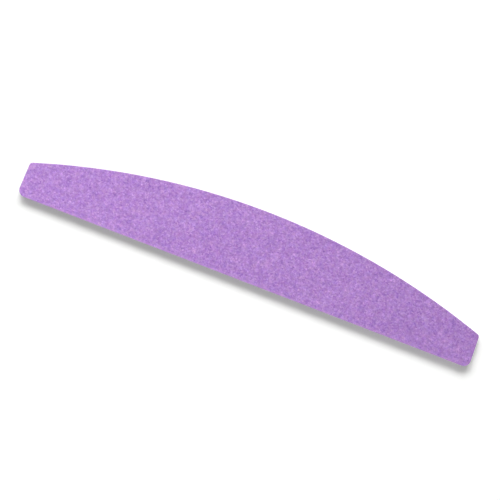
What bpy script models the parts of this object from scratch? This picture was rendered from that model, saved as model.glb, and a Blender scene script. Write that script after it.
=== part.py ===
"""A half-moon nail file, built as the laminate that it is.

A stiff core strip lies between two foam layers, and each foam layer is faced with abrasive paper: a
backing paper under a coat of ceramic grit. Films of adhesive join the strip to the foam and the
foam to the paper. One die cuts all layers, so they share one outline, and nothing moves.

Metres, +Z up. The file lies on its lower grit coat. X runs along the straight edge and Y from the
straight edge to the crown of the curved edge. The origin is below the middle of the outline's box.
"""

import math

import bmesh
import bpy
from mathutils import Vector

MM = 0.001

# The outline, seen from above
LENGTH = 178.0 * MM  # along the straight edge, to the corners before rounding
WIDTH = 27.1 * MM  # from the straight edge to the crown
END_HEIGHT = 12.65 * MM  # where each end meets the curved edge, before rounding
END_LEAN = math.radians(2.2)  # how far each end leans in from square
STRAIGHT_CORNER_RADIUS = 2.6 * MM
CURVED_CORNER_RADIUS = 1.2 * MM
CHORD_ERROR = 0.006 * MM  # how far a facet may lie inside the true curve
SHARP_ANGLE = math.radians(40)  # a cut edge turns by more than this, and a facet by less

# How thick each layer is
CORE_THICKNESS = 0.80 * MM
CORE_FILM_THICKNESS = 0.06 * MM
FOAM_THICKNESS = 0.96 * MM
PAPER_FILM_THICKNESS = 0.06 * MM
PAPER_THICKNESS = 0.22 * MM
GRIT_THICKNESS = 0.25 * MM
BOND_GAP = 0.01 * MM  # kept between bonded faces, so that no two layers share a face

# How far the cut edge of each layer lies inside the outline
CORE_INSET = 0.0
FILM_INSET = 0.15 * MM
FOAM_INSET = 0.10 * MM
PAPER_INSET = 0.0
GRIT_INSET = 0.06 * MM

# The outer rim of the grit, which the die presses round
GRIT_RIM = 0.12 * MM
GRIT_RIM_STEPS = 3
ROUND_PROFILE_SHARE = 0.5

# Colour and roughness of each finish
FINISHES = {
    "core_plastic": ((0.84, 0.82, 0.80), 0.45),
    "adhesive": ((0.86, 0.84, 0.78), 0.30),
    "foam": ((0.56, 0.36, 0.72), 0.90),
    "backing_paper": ((0.40, 0.20, 0.58), 0.75),
    "ceramic_grit": ((0.45, 0.25, 0.62), 0.85),
}

# The layers on each side of the core strip, from the inside out: name, finish, thickness, inset, rim
SIDE_LAYERS = (
    ("core_film", "adhesive", CORE_FILM_THICKNESS, FILM_INSET, 0.0),
    ("foam_layer", "foam", FOAM_THICKNESS, FOAM_INSET, 0.0),
    ("paper_film", "adhesive", PAPER_FILM_THICKNESS, FILM_INSET, 0.0),
    ("backing_paper", "backing_paper", PAPER_THICKNESS, PAPER_INSET, 0.0),
    ("grit_coat", "ceramic_grit", GRIT_THICKNESS, GRIT_INSET, GRIT_RIM),
)
SIDES = (("upper", 1), ("lower", -1))


def clear_scene():
    """Removes whatever the file opened with."""
    for obj in list(bpy.data.objects):
        bpy.data.objects.remove(obj)


def make_material(name, colour, roughness):
    """A plain Principled material."""
    material = bpy.data.materials.new(name)
    material.use_nodes = True
    shader = material.node_tree.nodes["Principled BSDF"]
    shader.inputs["Base Color"].default_value = (*colour, 1.0)
    shader.inputs["Roughness"].default_value = roughness
    shader.inputs["Metallic"].default_value = 0.0
    material.diffuse_color = (*colour, 1.0)
    return material


def right_hand_rounds():
    """The rounds of the outline's right half, anticlockwise, with the straight edge on y = 0.

    Each is (centre, radius, start angle, sweep). The straight edge and the ends are the lines
    between them, and an inset outline keeps the centres and takes the inset off every radius.
    """
    end_foot = Vector((LENGTH / 2, 0.0))
    up_end = Vector((-math.sin(END_LEAN), math.cos(END_LEAN)))
    into_file = Vector((-math.cos(END_LEAN), -math.sin(END_LEAN)))

    corner_x = end_foot.x - END_HEIGHT * math.tan(END_LEAN)
    rise = WIDTH - END_HEIGHT
    crown_radius = (corner_x**2 + rise**2) / (2 * rise)
    crown_centre = Vector((0.0, WIDTH - crown_radius))

    # The lower round touches the straight edge and the end
    foot_inset = STRAIGHT_CORNER_RADIUS * (1 + math.sin(END_LEAN)) / math.cos(END_LEAN)
    lower_centre = Vector((end_foot.x - foot_inset, STRAIGHT_CORNER_RADIUS))

    # The upper round touches the end and, from inside, the crown
    beside_end = end_foot + into_file * CURVED_CORNER_RADIUS - crown_centre
    along = beside_end.dot(up_end)
    reach = crown_radius - CURVED_CORNER_RADIUS
    climb = -along + math.sqrt(along**2 - beside_end.length_squared + reach**2)
    upper_centre = crown_centre + beside_end + up_end * climb
    outwards = upper_centre - crown_centre
    meeting = math.atan2(outwards.y, outwards.x)

    return (
        (lower_centre, STRAIGHT_CORNER_RADIUS, -math.pi / 2, math.pi / 2 + END_LEAN),
        (upper_centre, CURVED_CORNER_RADIUS, END_LEAN, meeting - END_LEAN),
        (crown_centre, crown_radius, meeting, math.pi / 2 - meeting),
    )


def round_steps(radius, sweep):
    """How many facets keep a round within the chord error."""
    facet = 2 * math.acos(1 - CHORD_ERROR / radius)
    return max(2, math.ceil(sweep / facet))


def outline(inset):
    """The outline moved in by inset, as anticlockwise points about the middle of its box."""
    right = []
    for centre, radius, start, sweep in right_hand_rounds():
        steps = round_steps(radius, sweep)
        for step in range(steps + 1):
            angle = start + sweep * step / steps
            right.append(centre + Vector((math.cos(angle), math.sin(angle))) * (radius - inset))
    crown = right.pop()
    left = [Vector((-point.x, point.y)) for point in reversed(right)]
    middle = Vector((0.0, WIDTH / 2))
    return [point - middle for point in (*right, crown, *left)]


def layer_mesh(name, thickness, inset, rim):
    """A die-cut sheet that rises from z = 0, with its top rim rounded by rim."""
    sheet = bmesh.new()
    corners = [sheet.verts.new((point.x, point.y, 0.0)) for point in outline(inset)]
    floor = sheet.faces.new(corners)
    raised = bmesh.ops.extrude_face_region(sheet, geom=[floor], use_keep_orig=True)["geom"]
    top = [item for item in raised if isinstance(item, bmesh.types.BMVert)]
    bmesh.ops.translate(sheet, verts=top, vec=(0.0, 0.0, thickness))
    if rim:
        top_edges = {edge for edge in sheet.edges if set(edge.verts) <= set(top)}
        bmesh.ops.bevel(
            sheet,
            geom=list(top_edges),
            offset=rim,
            segments=GRIT_RIM_STEPS,
            profile=ROUND_PROFILE_SHARE,
            affect="EDGES",
            material=-1,
        )
    bmesh.ops.recalc_face_normals(sheet, faces=sheet.faces)
    mesh = bpy.data.meshes.new(name)
    sheet.to_mesh(mesh)
    sheet.free()
    mesh.shade_smooth()
    mesh.set_sharp_from_angle(angle=SHARP_ANGLE)
    return mesh


def face_downwards(mesh):
    """Turns a sheet over about its own lower face, with its outline where it was."""
    turned = bmesh.new()
    turned.from_mesh(mesh)
    bmesh.ops.scale(turned, verts=turned.verts, vec=(1.0, 1.0, -1.0))
    bmesh.ops.reverse_faces(turned, faces=turned.faces)
    turned.to_mesh(mesh)
    turned.free()


def place(name, mesh, material, height, parent):
    """Adds one layer to the assembly, with its inner face at the given height from the mid-plane."""
    mesh.materials.append(material)
    layer = bpy.data.objects.new(name, mesh)
    bpy.context.scene.collection.objects.link(layer)
    layer.parent = parent
    layer.location = (0.0, 0.0, height)
    return layer


def side_thickness():
    """What lies on one side of the core strip, its bond gaps included."""
    return sum(BOND_GAP + thickness for _, _, thickness, _, _ in SIDE_LAYERS)


def build_core_strip(materials, assembly):
    """The rigid strip in the middle, centred on the mid-plane."""
    mesh = layer_mesh("core_strip", CORE_THICKNESS, CORE_INSET, 0.0)
    place("core_strip", mesh, materials["core_plastic"], -CORE_THICKNESS / 2, assembly)


def build_side(side, direction, materials, assembly):
    """The layers above or below the core strip, from the inside out."""
    height = CORE_THICKNESS / 2
    for kind, finish, thickness, inset, rim in SIDE_LAYERS:
        height += BOND_GAP
        name = f"{side}_{kind}"
        mesh = layer_mesh(name, thickness, inset, rim)
        if direction < 0:
            face_downwards(mesh)
        place(name, mesh, materials[finish], direction * height, assembly)
        height += thickness


def build_file():
    """The whole file, hung on an empty at its mid-plane."""
    clear_scene()
    materials = {name: make_material(name, *finish) for name, finish in FINISHES.items()}
    assembly = bpy.data.objects.new("nail_file", None)
    bpy.context.scene.collection.objects.link(assembly)
    assembly.location = (0.0, 0.0, CORE_THICKNESS / 2 + side_thickness())
    build_core_strip(materials, assembly)
    for side, direction in SIDES:
        build_side(side, direction, materials, assembly)


build_file()
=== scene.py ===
"""A purple half-moon nail file on a white table, seen from straight above.

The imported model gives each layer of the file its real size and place. This script dresses them.
Both coats of ceramic grit are rebuilt with their relief and their standing grains, both foam layers
with the wall that the die leaves, and the core, papers and adhesive films get their finishes.
"""

import logging
import math
from dataclasses import dataclass
from enum import Enum
from typing import Mapping, Optional, Sequence, Union

import bmesh
import bpy
import numpy as np
from mathutils import Matrix, Vector, noise


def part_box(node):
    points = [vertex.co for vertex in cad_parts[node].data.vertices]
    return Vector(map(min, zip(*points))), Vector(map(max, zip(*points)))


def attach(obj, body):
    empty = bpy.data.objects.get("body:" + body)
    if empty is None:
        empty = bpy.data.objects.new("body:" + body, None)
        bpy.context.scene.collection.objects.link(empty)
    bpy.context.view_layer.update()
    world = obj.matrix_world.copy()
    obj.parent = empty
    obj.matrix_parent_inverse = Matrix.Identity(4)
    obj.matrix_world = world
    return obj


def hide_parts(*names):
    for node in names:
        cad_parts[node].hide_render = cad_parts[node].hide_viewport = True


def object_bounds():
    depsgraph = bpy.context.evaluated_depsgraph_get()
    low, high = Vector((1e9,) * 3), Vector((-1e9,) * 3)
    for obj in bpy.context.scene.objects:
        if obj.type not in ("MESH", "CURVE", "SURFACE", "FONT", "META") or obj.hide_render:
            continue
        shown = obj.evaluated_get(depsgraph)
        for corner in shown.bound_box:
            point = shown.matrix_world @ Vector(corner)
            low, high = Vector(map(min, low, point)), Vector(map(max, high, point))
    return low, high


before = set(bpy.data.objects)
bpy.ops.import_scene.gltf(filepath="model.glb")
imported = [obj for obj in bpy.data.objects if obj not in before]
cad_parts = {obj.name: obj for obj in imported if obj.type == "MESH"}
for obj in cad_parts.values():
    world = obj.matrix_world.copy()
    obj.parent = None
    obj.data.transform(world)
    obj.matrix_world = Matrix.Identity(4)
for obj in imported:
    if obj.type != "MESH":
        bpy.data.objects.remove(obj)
cad_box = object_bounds()

logging.basicConfig(level=logging.INFO, format="%(message)s")
log = logging.getLogger("nail_file")

MM = 0.001
BODY = "root"

WHITE = (1.0, 1.0, 1.0)
BLACK = (0.0, 0.0, 0.0)
NOISE_MIDDLE = 0.5  # what every noise and every lottery swings around
SHARP_ANGLE = math.radians(50)  # a smooth piece keeps an edge that turns by more than this
# The rim attribute lays a painted highlight along the long sides of both grit sheets.
RIM_HIGHLIGHT = "rim"  # the name of the attribute that is 1 at a long side of a grit sheet and 0 inside

Value = Union[float, Sequence[float], "Signal"]
Colour = tuple[float, float, float]
Stops = tuple[float, float]


class Side(Enum):
    """The two faces of the file. The value is the way that the face looks along Z."""

    UPPER = 1
    LOWER = -1

    def node(self, layer: str) -> str:
        """The name of a layer's node on this side."""
        return f"{self.name.lower()}_{layer}"


RELIEF_SEEDS = {Side.UPPER: 3, Side.LOWER: 1}  # unlike, so that the two coats differ


# Writing shaders


class Signal:
    """One output of a shader node. Arithmetic on it adds Math nodes."""

    def __init__(self, recipe: "Recipe", socket: bpy.types.NodeSocket) -> None:
        """Wraps an output.

        Args:
            recipe: the recipe that its node belongs to.
            socket: the output.
        """
        self.recipe = recipe
        self.socket = socket

    def __add__(self, other: Value) -> "Signal":
        """self + other."""
        return self.recipe.math("ADD", self, other)

    def __radd__(self, other: Value) -> "Signal":
        """other + self."""
        return self.recipe.math("ADD", other, self)

    def __sub__(self, other: Value) -> "Signal":
        """self - other."""
        return self.recipe.math("SUBTRACT", self, other)

    def __rsub__(self, other: Value) -> "Signal":
        """other - self."""
        return self.recipe.math("SUBTRACT", other, self)

    def __mul__(self, other: Value) -> "Signal":
        """self * other."""
        return self.recipe.math("MULTIPLY", self, other)

    def __rmul__(self, other: Value) -> "Signal":
        """other * self."""
        return self.recipe.math("MULTIPLY", other, self)

    def step(self, low: float, high: float) -> "Signal":
        """A smooth step from 0 at low to 1 at high. Low may be the larger of the two."""
        sockets = {"Value": self, "From Min": low, "From Max": high}
        return self.recipe.signal("ShaderNodeMapRange", {"interpolation_type": "SMOOTHSTEP"}, sockets)

    def swing(self, middle: Value, width: float) -> "Signal":
        """A value that follows this noise: middle where the noise is 0.5, and width from 0 to 1."""
        return middle + width * (self - NOISE_MIDDLE)


class Recipe:
    """The node tree of a material or a world while it is written."""

    def __init__(self, owner: Union[bpy.types.Material, bpy.types.World]) -> None:
        """Empties the tree of a material or a world.

        Args:
            owner: the material or world.
        """
        owner.use_nodes = True
        self.owner = owner
        self.tree = owner.node_tree
        self.tree.nodes.clear()

    def node(
        self, kind: str, settings: Mapping[str, object], sockets: Mapping[Union[int, str], Value]
    ) -> bpy.types.Node:
        """Adds one node.

        Args:
            kind: the node's type.
            settings: its properties, which are set first.
            sockets: a value or a link for each input, by name or number.

        Returns:
            The node.
        """
        made = self.tree.nodes.new(kind)
        for name, setting in settings.items():
            setattr(made, name, setting)
        for name, value in sockets.items():
            if isinstance(value, Signal):
                self.tree.links.new(value.socket, made.inputs[name])
            else:
                made.inputs[name].default_value = value
        return made

    def signal(
        self,
        kind: str,
        settings: Mapping[str, object],
        sockets: Mapping[Union[int, str], Value],
        output: Union[int, str] = 0,
    ) -> Signal:
        """Adds one node and wraps an output of it.

        Args:
            kind: the node's type.
            settings: its properties.
            sockets: a value or a link for each input.
            output: the output that is wanted, by name or number.

        Returns:
            The wanted output.
        """
        return Signal(self, self.node(kind, settings, sockets).outputs[output])

    def math(self, operation: str, *values: Value) -> Signal:
        """Adds a Math node with its inputs in order, and gives its result."""
        return self.signal("ShaderNodeMath", {"operation": operation}, dict(enumerate(values)))

    def vector(self, operation: str, *values: Value, output: Union[int, str] = 0) -> Signal:
        """Adds a Vector Math node.

        Args:
            operation: what the node does.
            values: its inputs, in order.
            output: the output that is wanted, by name or number.

        Returns:
            The wanted output.
        """
        settings = {"operation": operation}
        return self.signal("ShaderNodeVectorMath", settings, dict(enumerate(values)), output)

    def place(self, stretch: Sequence[float] = (1.0, 1.0, 1.0)) -> Signal:
        """The point being shaded, in metres.

        Args:
            stretch: how many times longer a pattern grows along each axis.

        Returns:
            The point, divided by the stretch.
        """
        point = self.signal("ShaderNodeTexCoord", {}, {}, "Object")
        return self.vector("DIVIDE", point, stretch)

    def cloud(self, point: Signal, size: float, detail: float = 3.0, roughness: float = 0.6) -> Signal:
        """Fractal noise around 0.5.

        Args:
            point: where it is read.
            size: the size of its largest blots, in metres.
            detail: how many times the blots halve in size.
            roughness: how strong each halving is next to the one before.

        Returns:
            The noise.
        """
        sockets = {"Vector": point, "Scale": 1 / size, "Detail": detail, "Roughness": roughness}
        return self.signal("ShaderNodeTexNoise", {}, sockets)

    def cells(self, point: Signal, size: float, feature: str = "F1") -> Signal:
        """How far a point lies into its cell, in cells.

        Args:
            point: where it is read.
            size: the mean distance between cells, in metres.
            feature: what is measured in a cell.

        Returns:
            The distance.
        """
        sockets = {"Vector": point, "Scale": 1 / size}
        return self.signal("ShaderNodeTexVoronoi", {"feature": feature}, sockets)

    def lottery(self, point: Signal, size: float) -> Signal:
        """A number from 0 to 1 that each cell of a pattern draws for itself.

        Args:
            point: where it is read.
            size: the mean distance between cells, in metres.

        Returns:
            The number.
        """
        sockets = {"Vector": point, "Scale": 1 / size}
        drawn = self.signal("ShaderNodeTexVoronoi", {}, sockets, "Color")
        return self.signal("ShaderNodeSeparateColor", {}, {0: drawn})

    def mix(self, share: Value, one: Value, other: Value) -> Signal:
        """Mixes two colours.

        Args:
            share: how much of the other there is. Outside 0 to 1 the mix goes beyond the two.
            one: the colour at 0.
            other: the colour at 1.

        Returns:
            The mixed colour.
        """
        settings = {"data_type": "RGBA", "clamp_factor": False}
        return self.signal("ShaderNodeMix", settings, {0: share, 6: opaque(one), 7: opaque(other)}, 2)

    def uneven(self, colour: Signal, tone: Signal, width: float) -> Signal:
        """A colour whose brightness follows a noise, with width between its darkest and palest."""
        sockets = {"Vector": colour, "Scale": tone.swing(1.0, width)}
        return self.signal("ShaderNodeVectorMath", {"operation": "SCALE"}, sockets)

    def bump(self, height: Signal, depth: float, under: Optional[Signal] = None) -> Signal:
        """The normal of a fine relief.

        Args:
            height: the relief, from 0 to 1.
            depth: how deep it is from 0 to 1, in metres.
            under: the normal that it lies on, if that is another relief's.

        Returns:
            The normal.
        """
        sockets = {"Height": height, "Distance": depth}
        if under is not None:
            sockets["Normal"] = under
        return self.signal("ShaderNodeBump", {}, sockets)

    def surface(self, **sockets: Value) -> bpy.types.Material:
        """Ends a material with a Principled shader.

        Args:
            sockets: the shader's inputs, with an underscore for each space in a name.

        Returns:
            The material.
        """
        named = {name.replace("_", " "): value for name, value in sockets.items()}
        shader = self.signal("ShaderNodeBsdfPrincipled", {}, named)
        self.node("ShaderNodeOutputMaterial", {}, {"Surface": shader})
        return self.owner


def opaque(colour: Value) -> Value:
    """A written colour with an alpha of 1. A signal stays as it is."""
    return colour if isinstance(colour, Signal) else (*colour, 1.0)


def grey(level: float) -> Colour:
    """The neutral colour of a level from 0 to 1."""
    return (level, level, level)


def new_recipe(name: str) -> Recipe:
    """An empty material under a name, ready to be written."""
    return Recipe(bpy.data.materials.new(name))


# Finishes


class Pattern(Enum):
    """How one scale of unevenness lies: in grains that each have their own tone, or in soft clouds."""

    GRAINS = "grains"
    CLOUDS = "clouds"


@dataclass(frozen=True)
class Speckle:
    """One scale of unevenness: its pattern, its size, and how far it changes the brightness."""

    pattern: Pattern
    size: float
    share: float


@dataclass(frozen=True)
class Drift:
    """A change of hue: what multiplies the colour at each end of it, its scales and its own place."""

    one: Colour
    other: Colour
    speckles: tuple[Speckle, ...]
    place: tuple[float, float, float]


@dataclass(frozen=True)
class GritFinish:
    """Ceramic grit in tinted resin: matt, finely speckled, and a little uneven from place to place.

    The resin's speckle runs at random places from a deep violet to a paler, less strong violet. It is
    partly the grit's own uneven tone and partly painted shade and highlight, which stand in for the
    shading of the grains' fine relief. The tone between the two is bent by a curve of its powers:
    even, pale_lean and reach are its first three factors, and middle is what it gives for a mean tone.
    """

    # the darker end: the resin's own dark tone, deepened by painted shade
    dark_tone_and_shade: Colour = (0.247, 0.0965, 0.463)
    # the paler end: the resin's own pale tone, lifted by painted highlight; it lies at random places,
    # not on the relief's crests
    crest: Colour = (0.608, 0.356, 0.740)
    tones: tuple[Speckle, ...] = (
        Speckle(Pattern.GRAINS, 0.34 * MM, 0.30),
        Speckle(Pattern.GRAINS, 0.60 * MM, 0.50),
        Speckle(Pattern.CLOUDS, 1.0 * MM, 0.16),
        Speckle(Pattern.CLOUDS, 2.0 * MM, 0.195),
        Speckle(Pattern.CLOUDS, 4.5 * MM, 0.135),
        Speckle(Pattern.CLOUDS, 12.0 * MM, 0.09),
    )
    drifts: tuple[Drift, ...] = (
        Drift(
            one=(0.985, 1.00, 0.940),
            other=(1.015, 1.00, 1.060),
            speckles=(
                Speckle(Pattern.GRAINS, 0.45 * MM, 0.68),
                Speckle(Pattern.CLOUDS, 1.2 * MM, 1.60),
            ),
            place=(31 * MM, 17 * MM, 0.0),
        ),
        Drift(
            one=(0.962, 1.00, 1.00),
            other=(1.038, 1.00, 1.00),
            speckles=(
                Speckle(Pattern.GRAINS, 0.50 * MM, 0.70),
                Speckle(Pattern.CLOUDS, 1.6 * MM, 1.85),
            ),
            place=(53 * MM, 71 * MM, 0.0),
        ),
    )
    middle: float = 0.484
    even: float = 0.835
    pale_lean: float = 0.55
    reach: float = 2.45
    # painted highlight: how far the tone is lifted along the long sides
    painted_rim_highlight: float = 0.13
    roughness: float = 0.82
    roughness_swing: float = 0.15
    relief_size: float = 0.13 * MM
    relief: float = 0.030 * MM

    def material(self) -> bpy.types.Material:
        """Writes the finish.

        Returns:
            The material.
        """
        recipe = new_recipe("ceramic_grit")
        point = recipe.place()
        rim = recipe.signal("ShaderNodeAttribute", {"attribute_name": RIM_HIGHLIGHT}, {}, "Fac")
        # the rim lifts the tone along the long sides, as a painted highlight
        tone = self.curved(self.speckled(recipe, point, self.tones)) + self.painted_rim_highlight * rim
        # the speckle mixes the grit's own tone with painted shade and highlight of its relief
        colour = recipe.mix(tone, self.dark_tone_and_shade, self.crest)
        for drift in self.drifts:
            moved = recipe.vector("ADD", point, drift.place)
            tint = self.speckled(recipe, moved, drift.speckles)
            colour = recipe.vector("MULTIPLY", colour, recipe.mix(tint, drift.one, drift.other))
        normal = recipe.bump(recipe.cells(point, self.relief_size), self.relief)
        roughness = tone.swing(self.roughness, self.roughness_swing)
        return recipe.surface(Base_Color=colour, Roughness=roughness, Normal=normal)

    def curved(self, tone: Signal) -> Signal:
        """Bends a tone, so that a few specks stand out of the rest, and the pale ones the most.

        Args:
            tone: the tone, around 0.5.

        Returns:
            The bent tone, with about the same mean.
        """
        off = tone - NOISE_MIDDLE
        return self.middle + off * (self.even + off * (self.pale_lean + self.reach * off))

    @staticmethod
    def speckled(recipe: Recipe, point: Signal, speckles: Sequence[Speckle]) -> Signal:
        """Adds up several scales of unevenness.

        Args:
            recipe: the material.
            point: where they are read.
            speckles: the scales.

        Returns:
            Their sum, around 0.5.
        """
        total: Value = NOISE_MIDDLE
        for speckle in speckles:
            if speckle.pattern is Pattern.GRAINS:
                drawn = recipe.lottery(point, speckle.size)
            else:
                drawn = recipe.cloud(point, speckle.size, detail=0.0)
            total = drawn.swing(total, speckle.share)
        return total


@dataclass(frozen=True)
class GrainFinish:
    """The largest grains, which stand out of the resin. Each has its own tint."""

    violet: Colour = (0.380, 0.190, 0.570)
    rose: Colour = (0.480, 0.250, 0.600)
    pale: Colour = (0.800, 0.560, 0.780)
    dark: Colour = (0.140, 0.070, 0.300)
    rose_stops: Stops = (0.20, 0.80)
    pale_stops: Stops = (0.88, 0.96)
    dark_stops: Stops = (0.12, 0.04)
    crust_size: float = 0.08 * MM
    crust_detail: float = 2.0
    crust_shade: float = 0.30
    crust_depth: float = 0.004 * MM
    roughness: float = 0.55
    roughness_swing: float = 0.30

    def material(self) -> bpy.types.Material:
        """Writes the finish.

        Returns:
            The material.
        """
        recipe = new_recipe("standing_grains")
        own = recipe.signal("ShaderNodeNewGeometry", {}, {}, "Random Per Island")
        crust = recipe.cloud(recipe.place(), self.crust_size, self.crust_detail)
        colour = recipe.mix(own.step(*self.rose_stops), self.violet, self.rose)
        colour = recipe.mix(own.step(*self.pale_stops), colour, self.pale)
        colour = recipe.mix(own.step(*self.dark_stops), colour, self.dark)
        colour = recipe.uneven(colour, crust, self.crust_shade)
        roughness = crust.swing(self.roughness, self.roughness_swing)
        normal = recipe.bump(crust, self.crust_depth)
        return recipe.surface(Base_Color=colour, Roughness=roughness, Normal=normal)


@dataclass(frozen=True)
class PaperFinish:
    """Dyed backing paper, whose cut edge shows its fibres."""

    dyed: Colour = (0.520, 0.330, 0.660)
    fibre: Colour = (0.740, 0.620, 0.820)
    strand_size: float = 0.06 * MM
    strand_stretch: tuple[float, float, float] = (6.0, 6.0, 1.0)
    strand_stops: Stops = (0.50, 0.75)
    strand_depth: float = 0.02 * MM
    pulp_size: float = 0.8 * MM
    pulp_shade: float = 0.30
    roughness: float = 0.85
    roughness_swing: float = 0.20

    def material(self) -> bpy.types.Material:
        """Writes the finish.

        Returns:
            The material.
        """
        recipe = new_recipe("backing_paper")
        strands = recipe.cloud(recipe.place(self.strand_stretch), self.strand_size)
        pulp = recipe.cloud(recipe.place(), self.pulp_size)
        colour = recipe.mix(strands.step(*self.strand_stops), self.dyed, self.fibre)
        colour = recipe.uneven(colour, pulp, self.pulp_shade)
        roughness = strands.swing(self.roughness, self.roughness_swing)
        normal = recipe.bump(strands, self.strand_depth)
        return recipe.surface(Base_Color=colour, Roughness=roughness, Normal=normal)


@dataclass(frozen=True)
class FoamFinish:
    """Closed-cell foam, cut through, so that its wall shows open cells, with painted shade in them."""

    wall: Colour = (0.600, 0.410, 0.750)
    # darker inside the open cells: painted shade in the pits
    cell: Colour = (0.430, 0.250, 0.600)
    size: float = 0.22 * MM
    wall_stops: Stops = (0.04, 0.22)
    depth: float = 0.06 * MM
    small_size: float = 0.11 * MM
    small_wall_stops: Stops = (0.00, 0.30)
    small_depth: float = 0.02 * MM
    tone_size: float = 3.0 * MM
    tone_shade: float = 0.24
    roughness: float = 0.92
    roughness_inside: float = 0.80

    def material(self) -> bpy.types.Material:
        """Writes the finish.

        Returns:
            The material.
        """
        recipe = new_recipe("foam")
        point = recipe.place()
        inside = recipe.cells(point, self.size, "DISTANCE_TO_EDGE").step(*self.wall_stops)
        small = recipe.cells(point, self.small_size, "DISTANCE_TO_EDGE").step(*self.small_wall_stops)
        # the open cells get painted shade
        colour = recipe.mix(inside, self.wall, self.cell)
        colour = recipe.uneven(colour, recipe.cloud(point, self.tone_size), self.tone_shade)
        normal = recipe.bump(small, self.small_depth, recipe.bump(1.0 - inside, self.depth))
        roughness = self.roughness - (self.roughness - self.roughness_inside) * inside
        return recipe.surface(Base_Color=colour, Roughness=roughness, Normal=normal)


@dataclass(frozen=True)
class CoreFinish:
    """White polystyrene strip. The die leaves upright scores and some grit dust on its cut edge."""

    plastic: Colour = (0.780, 0.762, 0.744)
    shaded: Colour = (0.660, 0.622, 0.640)
    dusty: Colour = (0.620, 0.480, 0.740)
    score_size: float = 0.07 * MM
    score_stretch: tuple[float, float, float] = (1.0, 1.0, 14.0)
    score_stops: Stops = (0.45, 0.75)
    score_depth: float = 0.01 * MM
    dust_size: float = 0.25 * MM
    dust_roughness: float = 0.7
    dust_stops: Stops = (0.60, 0.72)
    dust_share: float = 0.8
    tone_size: float = 2.5 * MM
    tone_shade: float = 0.12
    roughness: float = 0.42
    roughness_swing: float = 0.30

    def material(self) -> bpy.types.Material:
        """Writes the finish.

        Returns:
            The material.
        """
        recipe = new_recipe("core_plastic")
        scores = recipe.cloud(recipe.place(self.score_stretch), self.score_size)
        tone = recipe.cloud(recipe.place(), self.tone_size)
        dust = recipe.cloud(recipe.place(), self.dust_size, roughness=self.dust_roughness)
        colour = recipe.mix(scores.step(*self.score_stops), self.plastic, self.shaded)
        colour = recipe.mix(self.dust_share * dust.step(*self.dust_stops), colour, self.dusty)
        colour = recipe.uneven(colour, tone, self.tone_shade)
        roughness = scores.swing(self.roughness, self.roughness_swing)
        normal = recipe.bump(scores, self.score_depth)
        return recipe.surface(Base_Color=colour, Roughness=roughness, Normal=normal)


@dataclass(frozen=True)
class FilmFinish:
    """Milky adhesive, pulled into short strings where it was cut."""

    glue: Colour = (0.860, 0.840, 0.780)
    thick: Colour = (0.700, 0.640, 0.620)
    string_size: float = 0.05 * MM
    string_stretch: tuple[float, float, float] = (3.0, 3.0, 1.0)
    string_stops: Stops = (0.40, 0.70)
    string_depth: float = 0.01 * MM
    roughness: float = 0.35
    roughness_swing: float = 0.30

    def material(self) -> bpy.types.Material:
        """Writes the finish.

        Returns:
            The material.
        """
        recipe = new_recipe("adhesive")
        strings = recipe.cloud(recipe.place(self.string_stretch), self.string_size)
        colour = recipe.mix(strings.step(*self.string_stops), self.glue, self.thick)
        roughness = strings.swing(self.roughness, self.roughness_swing)
        normal = recipe.bump(strings, self.string_depth)
        return recipe.surface(Base_Color=colour, Roughness=roughness, Normal=normal)


# Layers


class Outline:
    """The outline of one layer, read from its solid.

    It has two long sides, the straight one and the crown, which run from end to end of the file and
    take in the rounded corners. The two short straight ends join them.
    """

    TOLERANCE = 0.001 * MM
    DECIMALS = 8  # of a metre, within which two corners are one

    def __init__(self, node: str, height: float) -> None:
        """Reads the corners that a solid has at a height.

        Args:
            node: the name of the layer's node.
            height: the z at which the layer has its full outline, in metres.
        """
        points = [vertex.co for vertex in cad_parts[node].data.vertices]
        at_height = [(co.x, co.y) for co in points if abs(co.z - height) < self.TOLERANCE]
        corners = np.unique(np.round(at_height, self.DECIMALS), axis=0)
        levels = np.sort(corners[:, 1])
        widest = int(np.argmax(np.diff(levels)))
        end_middle = levels[widest : widest + 2].mean()
        angles = np.arctan2(corners[:, 1] - end_middle, corners[:, 0])
        corners = corners[np.argsort(angles)]
        angles = np.sort(angles)
        self.straight = corners[angles < 0]
        self.crown = corners[angles > 0][::-1]
        self.ring = np.concatenate([self.straight, self.crown[::-1], self.straight[:1]])

    @staticmethod
    def along(side: np.ndarray, share: np.ndarray) -> np.ndarray:
        """Points along one long side.

        Args:
            side: the side's corners.
            share: how far along it each point is, from 0 to 1.

        Returns:
            The points, one row each.
        """
        steps = np.hypot(*np.diff(side, axis=0).T)
        travelled = np.concatenate(([0.0], np.cumsum(steps)))
        wanted = share * travelled[-1]
        return np.stack([np.interp(wanted, travelled, side[:, axis]) for axis in (0, 1)], axis=-1)

    @staticmethod
    def gap(points: np.ndarray, side: np.ndarray) -> np.ndarray:
        """How far points lie from one long side, or from the ring of all sides.

        Args:
            points: the points, with X and Y on the last axis.
            side: the side's corners.

        Returns:
            The distances, in metres.
        """
        nearest = np.full(points.shape[:-1], np.inf)
        for start, end in zip(side[:-1], side[1:]):
            edge = end - start
            share = np.clip((points - start) @ edge / (edge @ edge), 0.0, 1.0)
            away = np.linalg.norm(points - start - share[..., None] * edge, axis=-1)
            nearest = np.minimum(nearest, away)
        return nearest

    def inside(self, x: float, y: float, margin: float) -> bool:
        """Whether a point lies well within the outline.

        Args:
            x: where, along the file.
            y: where, across the file.
            margin: how far it has to be from the long sides and the ends, in metres.

        Returns:
            True if it does.
        """
        low = np.interp(x, *self.straight.T)
        high = np.interp(x, *self.crown.T)
        reach = min(self.straight[-1, 0], self.crown[-1, 0])
        return abs(x) < reach - margin and low + margin < y < high - margin


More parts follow.
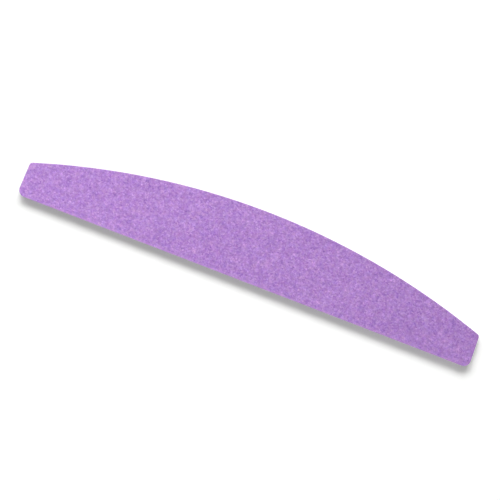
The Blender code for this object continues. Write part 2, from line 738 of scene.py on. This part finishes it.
@dataclass(frozen=True)
class Relief:
    """How the grit stands up from its paper: grain by grain, over a slow swell of the resin.

    The grains and the swell are level cuts through solid patterns, and the seed moves the cuts.
    """

    seed: int
    grain: float = 0.42 * MM
    stand: float = 0.070 * MM
    crest_reach: float = 0.90  # from a crest's middle to where it ends, in grains
    least_crest: float = 0.35  # how high the lowest crest is, next to the highest
    swell: float = 3.0 * MM
    swell_depth: float = 0.012 * MM
    grain_level: float = 7.3
    swell_level: float = 3.7
    crest_lottery: float = 3.1  # what spreads the crests' places over the lottery of their heights

    def depth(self, x: float, y: float) -> float:
        """How far the surface lies below the highest crests.

        Args:
            x: where, along the file.
            y: where, across the file.

        Returns:
            The depth, in metres and never below 0.
        """
        point = Vector((x / self.grain, y / self.grain, self.grain_level * self.seed))
        distances, centres = noise.voronoi(point)
        drawn = abs(noise.cell(centres[0] * self.crest_lottery))
        tallness = self.least_crest + (1.0 - self.least_crest) * drawn
        crest = max(0.0, 1.0 - (distances[0] / self.crest_reach) ** 2) * tallness
        slow = noise.noise(Vector((x / self.swell, y / self.swell, self.swell_level * self.seed)))
        return self.stand * (1.0 - crest) + self.swell_depth * (1.0 + slow) / 2


@dataclass
class GritCoat:
    """One coat of grit: a sheet in relief, and the largest grains, which stand out of it."""

    side: Side
    relief: Relief
    spacing: float = 0.238 * MM
    jitter_share: float = 0.28  # how far a point strays, next to the room that it has
    rim_steps: tuple[float, ...] = (0.05 * MM, 0.12 * MM, 0.22 * MM)
    rim_drop: float = 0.02 * MM
    rim_round: float = 0.10 * MM
    pressed: float = 0.90 * MM  # how far in from the cut edge the die has pressed the relief
    pressed_share: float = 0.60  # how much of the relief it has taken at the edge
    grain_count: int = 9000
    grain_sizes: tuple[float, float] = (0.10 * MM, 0.20 * MM)
    grain_lift: float = 0.10  # how far a grain's middle stands over the resin, in its size
    grain_shapes: int = 24
    grain_points: int = 10
    grain_radii: tuple[float, float] = (0.35, 0.50)
    seed: int = 11

    def __post_init__(self) -> None:
        """Reads the coat's place from its solid."""
        low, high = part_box(self.node)
        self.crest = high.z if self.side is Side.UPPER else low.z
        self.back = low.z if self.side is Side.UPPER else high.z
        paper = self.side.node("backing_paper")
        self.outline = Outline(paper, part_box(paper)[0].z)
        self.draw = np.random.default_rng(self.seed + self.side.value)

    @property
    def node(self) -> str:
        """The name of the coat's solid."""
        return self.side.node("grit_coat")

    def spread(self, count: int, length: np.ndarray) -> np.ndarray:
        """Places across a length that close up towards both ends, where the rim is round.

        Args:
            count: how many places there are.
            length: the length to spread them over, one number or one for each line of points.

        Returns:
            The places as shares of the length, one row for each place.
        """
        rim = np.array((0.0, *self.rim_steps))[:, None] / length
        inner = np.linspace(0.0, 1.0, count - 2 * len(rim) + 2)[1:-1, None]
        middle = rim[-1] + inner * (1 - 2 * rim[-1])
        return np.concatenate([rim, middle, 1 - rim[::-1]])

    def sheet(self) -> bpy.types.Object:
        """Builds the sheet in relief.

        Returns:
            The sheet, closed at its back.
        """
        straight, crown = self.outline.straight, self.outline.crown
        columns = round((straight[-1, 0] - straight[0, 0]) / self.spacing)
        rows = round((crown[:, 1].max() - straight[:, 1].min()) / self.spacing)
        coat = bmesh.new()
        bmesh.ops.create_grid(coat, x_segments=columns, y_segments=rows, size=0.5)
        self.warp(coat, columns + 1, rows + 1)
        self.close_back(coat)
        bmesh.ops.triangulate(coat, faces=coat.faces, quad_method="BEAUTY")
        if self.side is Side.LOWER:
            bmesh.ops.reverse_faces(coat, faces=coat.faces)
        return finished(coat, self.side.node("grit_sheet"), smooth=False)

    def warp(self, coat: bmesh.types.BMesh, columns: int, rows: int) -> None:
        """Lays the points of a unit grid on the outline and gives them their heights.

        The relief sinks towards the whole cut edge, and a painted highlight follows its long sides.

        Args:
            coat: the grid, from -0.5 to 0.5 each way.
            columns: how many points it has along X.
            rows: how many points it has along Y.
        """
        along = self.spread(columns, np.array([self.outline.straight[-1, 0] * 2]))[:, 0]
        below = self.outline.along(self.outline.straight, along)
        above = self.outline.along(self.outline.crown, along)
        across = self.spread(rows, np.hypot(*(above - below).T))
        places = below + (above - below) * across[..., None]
        gaps = self.outline.gap(places, self.outline.ring)
        room = np.minimum(self.room(places), gaps)[..., None]
        places += self.draw.uniform(-1.0, 1.0, places.shape) * self.jitter_share * room
        long_sides = (self.outline.straight, self.outline.crown)
        # the distance to the long sides, which sets the painted highlight along them
        highlight_gaps = np.minimum.reduce([self.outline.gap(places, side) for side in long_sides])
        highlight_layer = coat.verts.layers.float.new(RIM_HIGHLIGHT)
        for vertex in coat.verts:
            across_share, up_share = grid_shares(vertex)
            spot = (round(up_share * (rows - 1)), round(across_share * (columns - 1)))
            x, y = places[spot]
            vertex.co = (x, y, self.height(x, y, gaps[spot]))
            vertex[highlight_layer] = 1.0 - ease(highlight_gaps[spot] / self.pressed)

    @staticmethod
    def room(places: np.ndarray) -> np.ndarray:
        """How far each point of a grid may move before it meets its neighbours.

        Args:
            places: the points, row by row.

        Returns:
            The distance to the nearest neighbour, and 0 along the border.
        """
        to_next_row = np.linalg.norm(np.diff(places, axis=0), axis=-1)[:, 1:-1]
        to_next_column = np.linalg.norm(np.diff(places, axis=1), axis=-1)[1:-1]
        room = np.zeros(places.shape[:-1])
        neighbours = (to_next_row[:-1], to_next_row[1:], to_next_column[:, :-1], to_next_column[:, 1:])
        room[1:-1, 1:-1] = np.minimum.reduce(neighbours)
        return room

    def height(self, x: float, y: float, gap: float) -> float:
        """The z of the sheet's surface.

        Args:
            x: where, along the file.
            y: where, across the file.
            gap: how far the place is from the cut edge.

        Returns:
            The z, in metres.
        """
        pressed = 1.0 - ease(gap / self.pressed)
        depth = self.relief.depth(x, y) * (1.0 - self.pressed_share * pressed)
        turn = max(0.0, 1.0 - gap / self.rim_round)
        rounding = self.rim_drop * (1.0 - math.sqrt(1.0 - turn**2))
        return self.crest - self.side.value * (depth + rounding)

    def close_back(self, coat: bmesh.types.BMesh) -> None:
        """Draws the sheet's border down to the paper and fills the back.

        Args:
            coat: the sheet.
        """
        border = [edge for edge in coat.edges if edge.is_boundary]
        drawn = bmesh.ops.extrude_edge_only(coat, edges=border)["geom"]
        for vertex in (item for item in drawn if isinstance(item, bmesh.types.BMVert)):
            vertex.co.z = self.back
        close_open_ends(coat)

    def grains(self) -> bpy.types.Object:
        """Builds the grains that stand out of the sheet.

        Returns:
            The grains, as one piece of many closed stones.
        """
        shapes = [self.grain_shape() for _ in range(self.grain_shapes)]
        scatter = bmesh.new()
        low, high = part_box(self.node)
        placed = 0
        while placed < self.grain_count:
            x = self.draw.uniform(low.x, high.x)
            y = self.draw.uniform(low.y, high.y)
            if not self.outline.inside(x, y, self.pressed):
                continue
            size = self.draw.uniform(*self.grain_sizes)
            turn = Matrix.Rotation(self.draw.uniform(0.0, math.tau), 4, self.draw.normal(size=3))
            stone = shapes[placed % len(shapes)].copy()
            stone.transform(turn @ Matrix.Scale(size, 4))
            reach = max(self.side.value * v.co.z for v in stone.vertices)
            surface = self.height(x, y, self.pressed)
            lift = min(self.side.value * (self.crest - surface) - reach, self.grain_lift * size)
            stone.transform(Matrix.Translation((x, y, surface + self.side.value * lift)))
            scatter.from_mesh(stone)
            bpy.data.meshes.remove(stone)
            placed += 1
        for shape in shapes:
            bpy.data.meshes.remove(shape)
        return finished(scatter, self.side.node("standing_grains"), smooth=False)

    def grain_shape(self) -> bpy.types.Mesh:
        """One splintered stone, about 1 across, as the hull of a few points.

        Returns:
            Its mesh.
        """
        stone = bmesh.new()
        for point in self.draw.normal(size=(self.grain_points, 3)):
            stone.verts.new(Vector(point).normalized() * self.draw.uniform(*self.grain_radii))
        hull = bmesh.ops.convex_hull(stone, input=stone.verts)
        bmesh.ops.delete(stone, geom=list(set(hull["geom_interior"])), context="VERTS")
        mesh = bpy.data.meshes.new("grain_shape")
        stone.to_mesh(mesh)
        stone.free()
        return mesh

    def build(self, sheet_finish: bpy.types.Material, grain_finish: bpy.types.Material) -> None:
        """Builds, dresses and hangs up both pieces of the coat.

        Args:
            sheet_finish: the material of the sheet.
            grain_finish: the material of the standing grains.
        """
        for piece, finish in ((self.sheet(), sheet_finish), (self.grains(), grain_finish)):
            piece.data.materials.append(finish)
            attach(piece, BODY)
            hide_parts(self.node)
            report(piece)


@dataclass
class FoamLayer:
    """One foam layer. The die has drawn its wall in and cut its cells open."""

    side: Side
    spacing: float = 0.105 * MM
    rows: int = 9
    waist: float = 0.09 * MM
    cell: float = 0.26 * MM
    cell_depth: float = 0.09 * MM
    cell_reach: float = 0.75  # from a cell's middle to its rim, in cells
    cell_rise: float = 2.5  # how fast the cells open up away from the layer's two faces
    weld: float = 0.0005 * MM
    seed: int = 5

    def __post_init__(self) -> None:
        """Reads the layer's place from its solid."""
        self.low, self.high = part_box(self.node)
        self.outline = Outline(self.node, self.low.z)

    @property
    def node(self) -> str:
        """The name of the layer's solid."""
        return self.side.node("foam_layer")

    def build(self, finish: bpy.types.Material) -> None:
        """Builds, dresses and hangs up the layer.

        Args:
            finish: its material.
        """
        ring = self.outline.ring
        length = np.hypot(*np.diff(ring, axis=0).T).sum()
        columns = round(length / self.spacing)
        path = self.outline.along(ring, np.linspace(0.0, 1.0, columns + 1))
        forward = np.roll(path[:-1], -1, axis=0) - np.roll(path[:-1], 1, axis=0)
        forward = forward / np.hypot(*forward.T)[:, None]
        foam = bmesh.new()
        bmesh.ops.create_grid(foam, x_segments=columns, y_segments=self.rows, size=0.5)
        for vertex in foam.verts:
            around, climb = grid_shares(vertex)
            column = round(around * columns) % columns
            x, y = path[column]
            z = self.low.z + climb * (self.high.z - self.low.z)
            inset = self.inset(x, y, z, climb)
            out_x, out_y = forward[column, 1], -forward[column, 0]
            vertex.co = (x - out_x * inset, y - out_y * inset, z)
        bmesh.ops.remove_doubles(foam, verts=foam.verts, dist=self.weld)
        close_open_ends(foam)
        bmesh.ops.recalc_face_normals(foam, faces=foam.faces)
        piece = finished(foam, self.side.node("foam_cut"), smooth=True)
        piece.data.materials.append(finish)
        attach(piece, BODY)
        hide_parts(self.node)
        report(piece)

    def inset(self, x: float, y: float, z: float, climb: float) -> float:
        """How far the wall lies inside the layer's outline.

        Args:
            x: where, along the file.
            y: where, across the file.
            z: where, in height.
            climb: how high that is in the layer, from 0 to 1.

        Returns:
            The inset, in metres.
        """
        bow = 4.0 * climb * (1.0 - climb)
        distances, _ = noise.voronoi(Vector((x, y, z)) / self.cell + Vector((0.0, 0.0, self.seed)))
        pit = max(0.0, 1.0 - (distances[0] / self.cell_reach) ** 2)
        return self.waist * bow + self.cell_depth * pit * min(1.0, self.cell_rise * bow)


def grid_shares(vertex: bmesh.types.BMVert) -> tuple[float, float]:
    """Where a point of a unit grid lies, as shares of its two sides from 0 to 1."""
    return vertex.co.x + 0.5, vertex.co.y + 0.5


def ease(share: float) -> float:
    """A smooth step from 0 to 1, flat outside them."""
    held = min(1.0, max(0.0, share))
    return held * held * (3.0 - 2.0 * held)


def close_open_ends(shape: bmesh.types.BMesh) -> None:
    """Closes each flat open end with a fan of triangles about its middle.

    Args:
        shape: the shape. Its open ends have no inward corners.
    """
    rims = [edge for edge in shape.edges if edge.is_boundary]
    ends = bmesh.ops.holes_fill(shape, edges=rims, sides=0)["faces"]
    bmesh.ops.poke(shape, faces=ends)


def finished(shape: bmesh.types.BMesh, name: str, smooth: bool) -> bpy.types.Object:
    """Turns a finished shape into a piece in the scene.

    Args:
        shape: the shape, which is freed.
        name: the piece's name.
        smooth: whether its faces are shaded smooth.

    Returns:
        The piece.
    """
    mesh = bpy.data.meshes.new(name)
    shape.to_mesh(mesh)
    shape.free()
    if smooth:
        mesh.shade_smooth()
        mesh.set_sharp_from_angle(angle=SHARP_ANGLE)
    piece = bpy.data.objects.new(name, mesh)
    bpy.context.scene.collection.objects.link(piece)
    return piece


def report(piece: bpy.types.Object) -> None:
    """Logs a piece's name, faces and size."""
    low, high = (Vector(corner) / MM for corner in (piece.bound_box[0], piece.bound_box[6]))
    log.info("%s: %d faces, z %.3f to %.3f mm", piece.name, len(piece.data.polygons), low.z, high.z)


@dataclass
class FixedLayers:
    """The layers whose solids have their right shape already, and only need their finish."""

    core: CoreFinish = CoreFinish()
    paper: PaperFinish = PaperFinish()
    film: FilmFinish = FilmFinish()

    def dress(self) -> None:
        """Gives the core, the papers and the films their finishes."""
        core = self.core.material()
        paper = self.paper.material()
        film = self.film.material()
        finishes = {"core_strip": core}
        for side in Side:
            finishes[side.node("backing_paper")] = paper
            finishes[side.node("paper_film")] = film
            finishes[side.node("core_film")] = film
        for node, finish in finishes.items():
            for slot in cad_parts[node].material_slots:
                slot.material = finish
            log.info("%s: dressed", node)


# The table, the lamps and the camera


@dataclass
class Studio:
    """A white table under two key lamps side by side, a low front lamp and an even sky.

    The camera looks straight down. Each lamp's share is how bright it makes the middle of a white
    table. Lengths are in metres, and directions called right and up are the picture's.
    """

    table_size: float = 6.0
    table_drop: float = 0.01 * MM
    table_near: float = 0.75  # how white the table is on the side of the keys
    table_far: float = 1.00
    table_turn: float = 0.20  # how far from the middle it stops getting whiter
    table_lean: float = math.radians(38)  # how far below right it gets whiter
    glow: Colour = (0.199, 0.2075, 0.190)
    glow_reach: float = 0.095  # where the glow starts to grow, just within the picture's corners
    glow_fade: float = 0.35
    key_share: float = 0.90
    key_height: float = math.radians(45.9)
    key_turns: tuple[float, ...] = (math.radians(-21.8), math.radians(9.5))
    key_distance: float = 1.2
    key_spread: tuple[float, float] = (math.radians(42.3), math.radians(31.2))
    key_beam: float = math.radians(106)
    key_aside: float = 0.48  # how far left of the middle the keys aim
    front_share: float = 0.06
    front_place: tuple[float, float, float] = (0.0, -0.70, 0.16)
    front_size: float = 0.40
    sky: float = 0.10
    picture_turn: float = math.radians(21.08)
    camera_aim: tuple[float, float] = (-1.57 * MM, -1.87 * MM)
    camera_height: float = 0.700
    picture_width: float = 183.95 * MM
    sensor: float = 36.0

    def build(self) -> None:
        """Builds the stage, the lamps and the camera."""
        self.table()
        for turn in self.key_turns:
            self.key(turn)
        self.front()
        self.world()
        self.camera()

    def table(self) -> None:
        """A white table top, which the camera sees glow a little, and fully beyond the picture.

        It is whiter where the keys' light is weaker, so it looks white all over and keeps its shade.
        """
        top = bmesh.new()
        bmesh.ops.create_grid(top, x_segments=1, y_segments=1, size=self.table_size / 2)
        bmesh.ops.translate(top, verts=top.verts, vec=(0.0, 0.0, -self.table_drop))
        table = finished(top, "table", smooth=False)
        recipe = new_recipe("table")
        point = recipe.place()
        away_from_key = self.across(math.cos(self.table_lean), -math.sin(self.table_lean))
        past_middle = recipe.vector("DOT_PRODUCT", point, away_from_key, output="Value")
        turned = past_middle.step(-self.table_turn, self.table_turn)
        white = recipe.mix(turned, grey(self.table_near), grey(self.table_far))
        away = recipe.vector("LENGTH", point, output="Value")
        glow = recipe.mix(away.step(self.glow_reach, self.glow_fade), self.glow, WHITE)
        glow = recipe.mix(self.seen_directly(recipe), BLACK, glow)
        recipe.surface(
            Base_Color=white,
            Roughness=1.0,
            Specular_IOR_Level=0.0,
            Emission_Color=glow,
            Emission_Strength=1.0,
        )
        table.data.materials.append(recipe.owner)

    @staticmethod
    def seen_directly(recipe: Recipe) -> Signal:
        """Tells what is seen from what only lights.

        Args:
            recipe: the material or world.

        Returns:
            1 for a ray from the camera, also by way of a mirror or glass, and 0 for light.
        """
        outputs = recipe.node("ShaderNodeLightPath", {}, {}).outputs
        kinds = ("Camera", "Glossy", "Transmission")
        camera, glossy, through = (Signal(recipe, outputs[f"Is {kind} Ray"]) for kind in kinds)
        return recipe.math("MAXIMUM", recipe.math("MAXIMUM", camera, glossy), through)

    def across(self, picture_x: float, picture_y: float) -> Vector:
        """A direction in the picture, right and up, as a direction on the table."""
        return Matrix.Rotation(self.picture_turn, 3, "Z") @ Vector((picture_x, picture_y, 0.0))

    @staticmethod
    def power(share: float, place: Vector) -> float:
        """The watts with which a lamp at a place lights the middle of the table to a share of white."""
        return share * math.pi**2 * place.length**3 / place.z

    @staticmethod
    def hang(data: bpy.types.Light, place: Vector, aim: Vector) -> None:
        """Hangs a lamp and turns it towards a point.

        Args:
            data: the lamp.
            place: where it hangs.
            aim: the point.
        """
        lamp = bpy.data.objects.new(data.name, data)
        lamp.location = place
        lamp.rotation_euler = (place - aim).to_track_quat("Z", "Y").to_euler()
        bpy.context.scene.collection.objects.link(lamp)

    def key(self, turn: float) -> None:
        """One of the main lamps, which stand side by side at the top and aim past the file's left.

        Their beams fade outwards, so the file is paler at the left, while all shade falls downwards.

        Args:
            turn: how far right of the picture's top the lamp stands.
        """
        data = bpy.data.lights.new("key", "AREA")
        data.shape = "ELLIPSE"
        widths = [2 * self.key_distance * math.tan(angle / 2) for angle in self.key_spread]
        data.size, data.size_y = widths
        data.spread = self.key_beam
        place = self.across(math.sin(turn), math.cos(turn)) * math.cos(self.key_height)
        place.z = math.sin(self.key_height)
        place *= self.key_distance
        aim = self.across(-self.key_aside, 0.0)
        half = self.key_beam / 2
        aside = place.angle(place - aim)
        beam = math.cos(aside) * (math.tan(half) - math.tan(aside)) / (math.tan(half) - half)
        data.energy = self.power(self.key_share / len(self.key_turns), place) / beam
        self.hang(data, place, aim)

    def front(self) -> None:
        """A low lamp before the straight edge, which lights the wall that the key can't reach."""
        place = Vector(self.front_place)
        data = bpy.data.lights.new("front", "AREA")
        data.size = self.front_size
        data.energy = self.power(self.front_share, place)
        self.hang(data, place, Vector())

    def world(self) -> None:
        """An even sky, which looks white but lights less."""
        world = bpy.data.worlds.new("studio")
        bpy.context.scene.world = world
        recipe = Recipe(world)
        seen = self.seen_directly(recipe)
        sky = recipe.mix(seen, grey(self.sky), WHITE)
        light = recipe.signal("ShaderNodeBackground", {}, {"Color": sky})
        recipe.node("ShaderNodeOutputWorld", {}, {"Surface": light})

    def camera(self) -> None:
        """The camera, straight above and turned so that the file slopes down to the right."""
        data = bpy.data.cameras.new("camera")
        data.sensor_width = self.sensor
        data.lens = self.sensor * self.camera_height / self.picture_width
        camera = bpy.data.objects.new("camera", data)
        top = cad_box[1].z
        camera.location = (*self.camera_aim, top + self.camera_height)
        camera.rotation_euler = (0.0, 0.0, self.picture_turn)
        bpy.context.scene.collection.objects.link(camera)
        bpy.context.scene.camera = camera
        bpy.context.scene.view_settings.view_transform = "Standard"


def main() -> None:
    """Builds the studio and the file, layer by layer."""
    Studio().build()
    grit = GritFinish().material()
    grains = GrainFinish().material()
    foam = FoamFinish().material()
    for side in Side:
        GritCoat(side, Relief(RELIEF_SEEDS[side])).build(grit, grains)
        FoamLayer(side).build(foam)
    FixedLayers().dress()


if __name__ == "__main__":
    main()
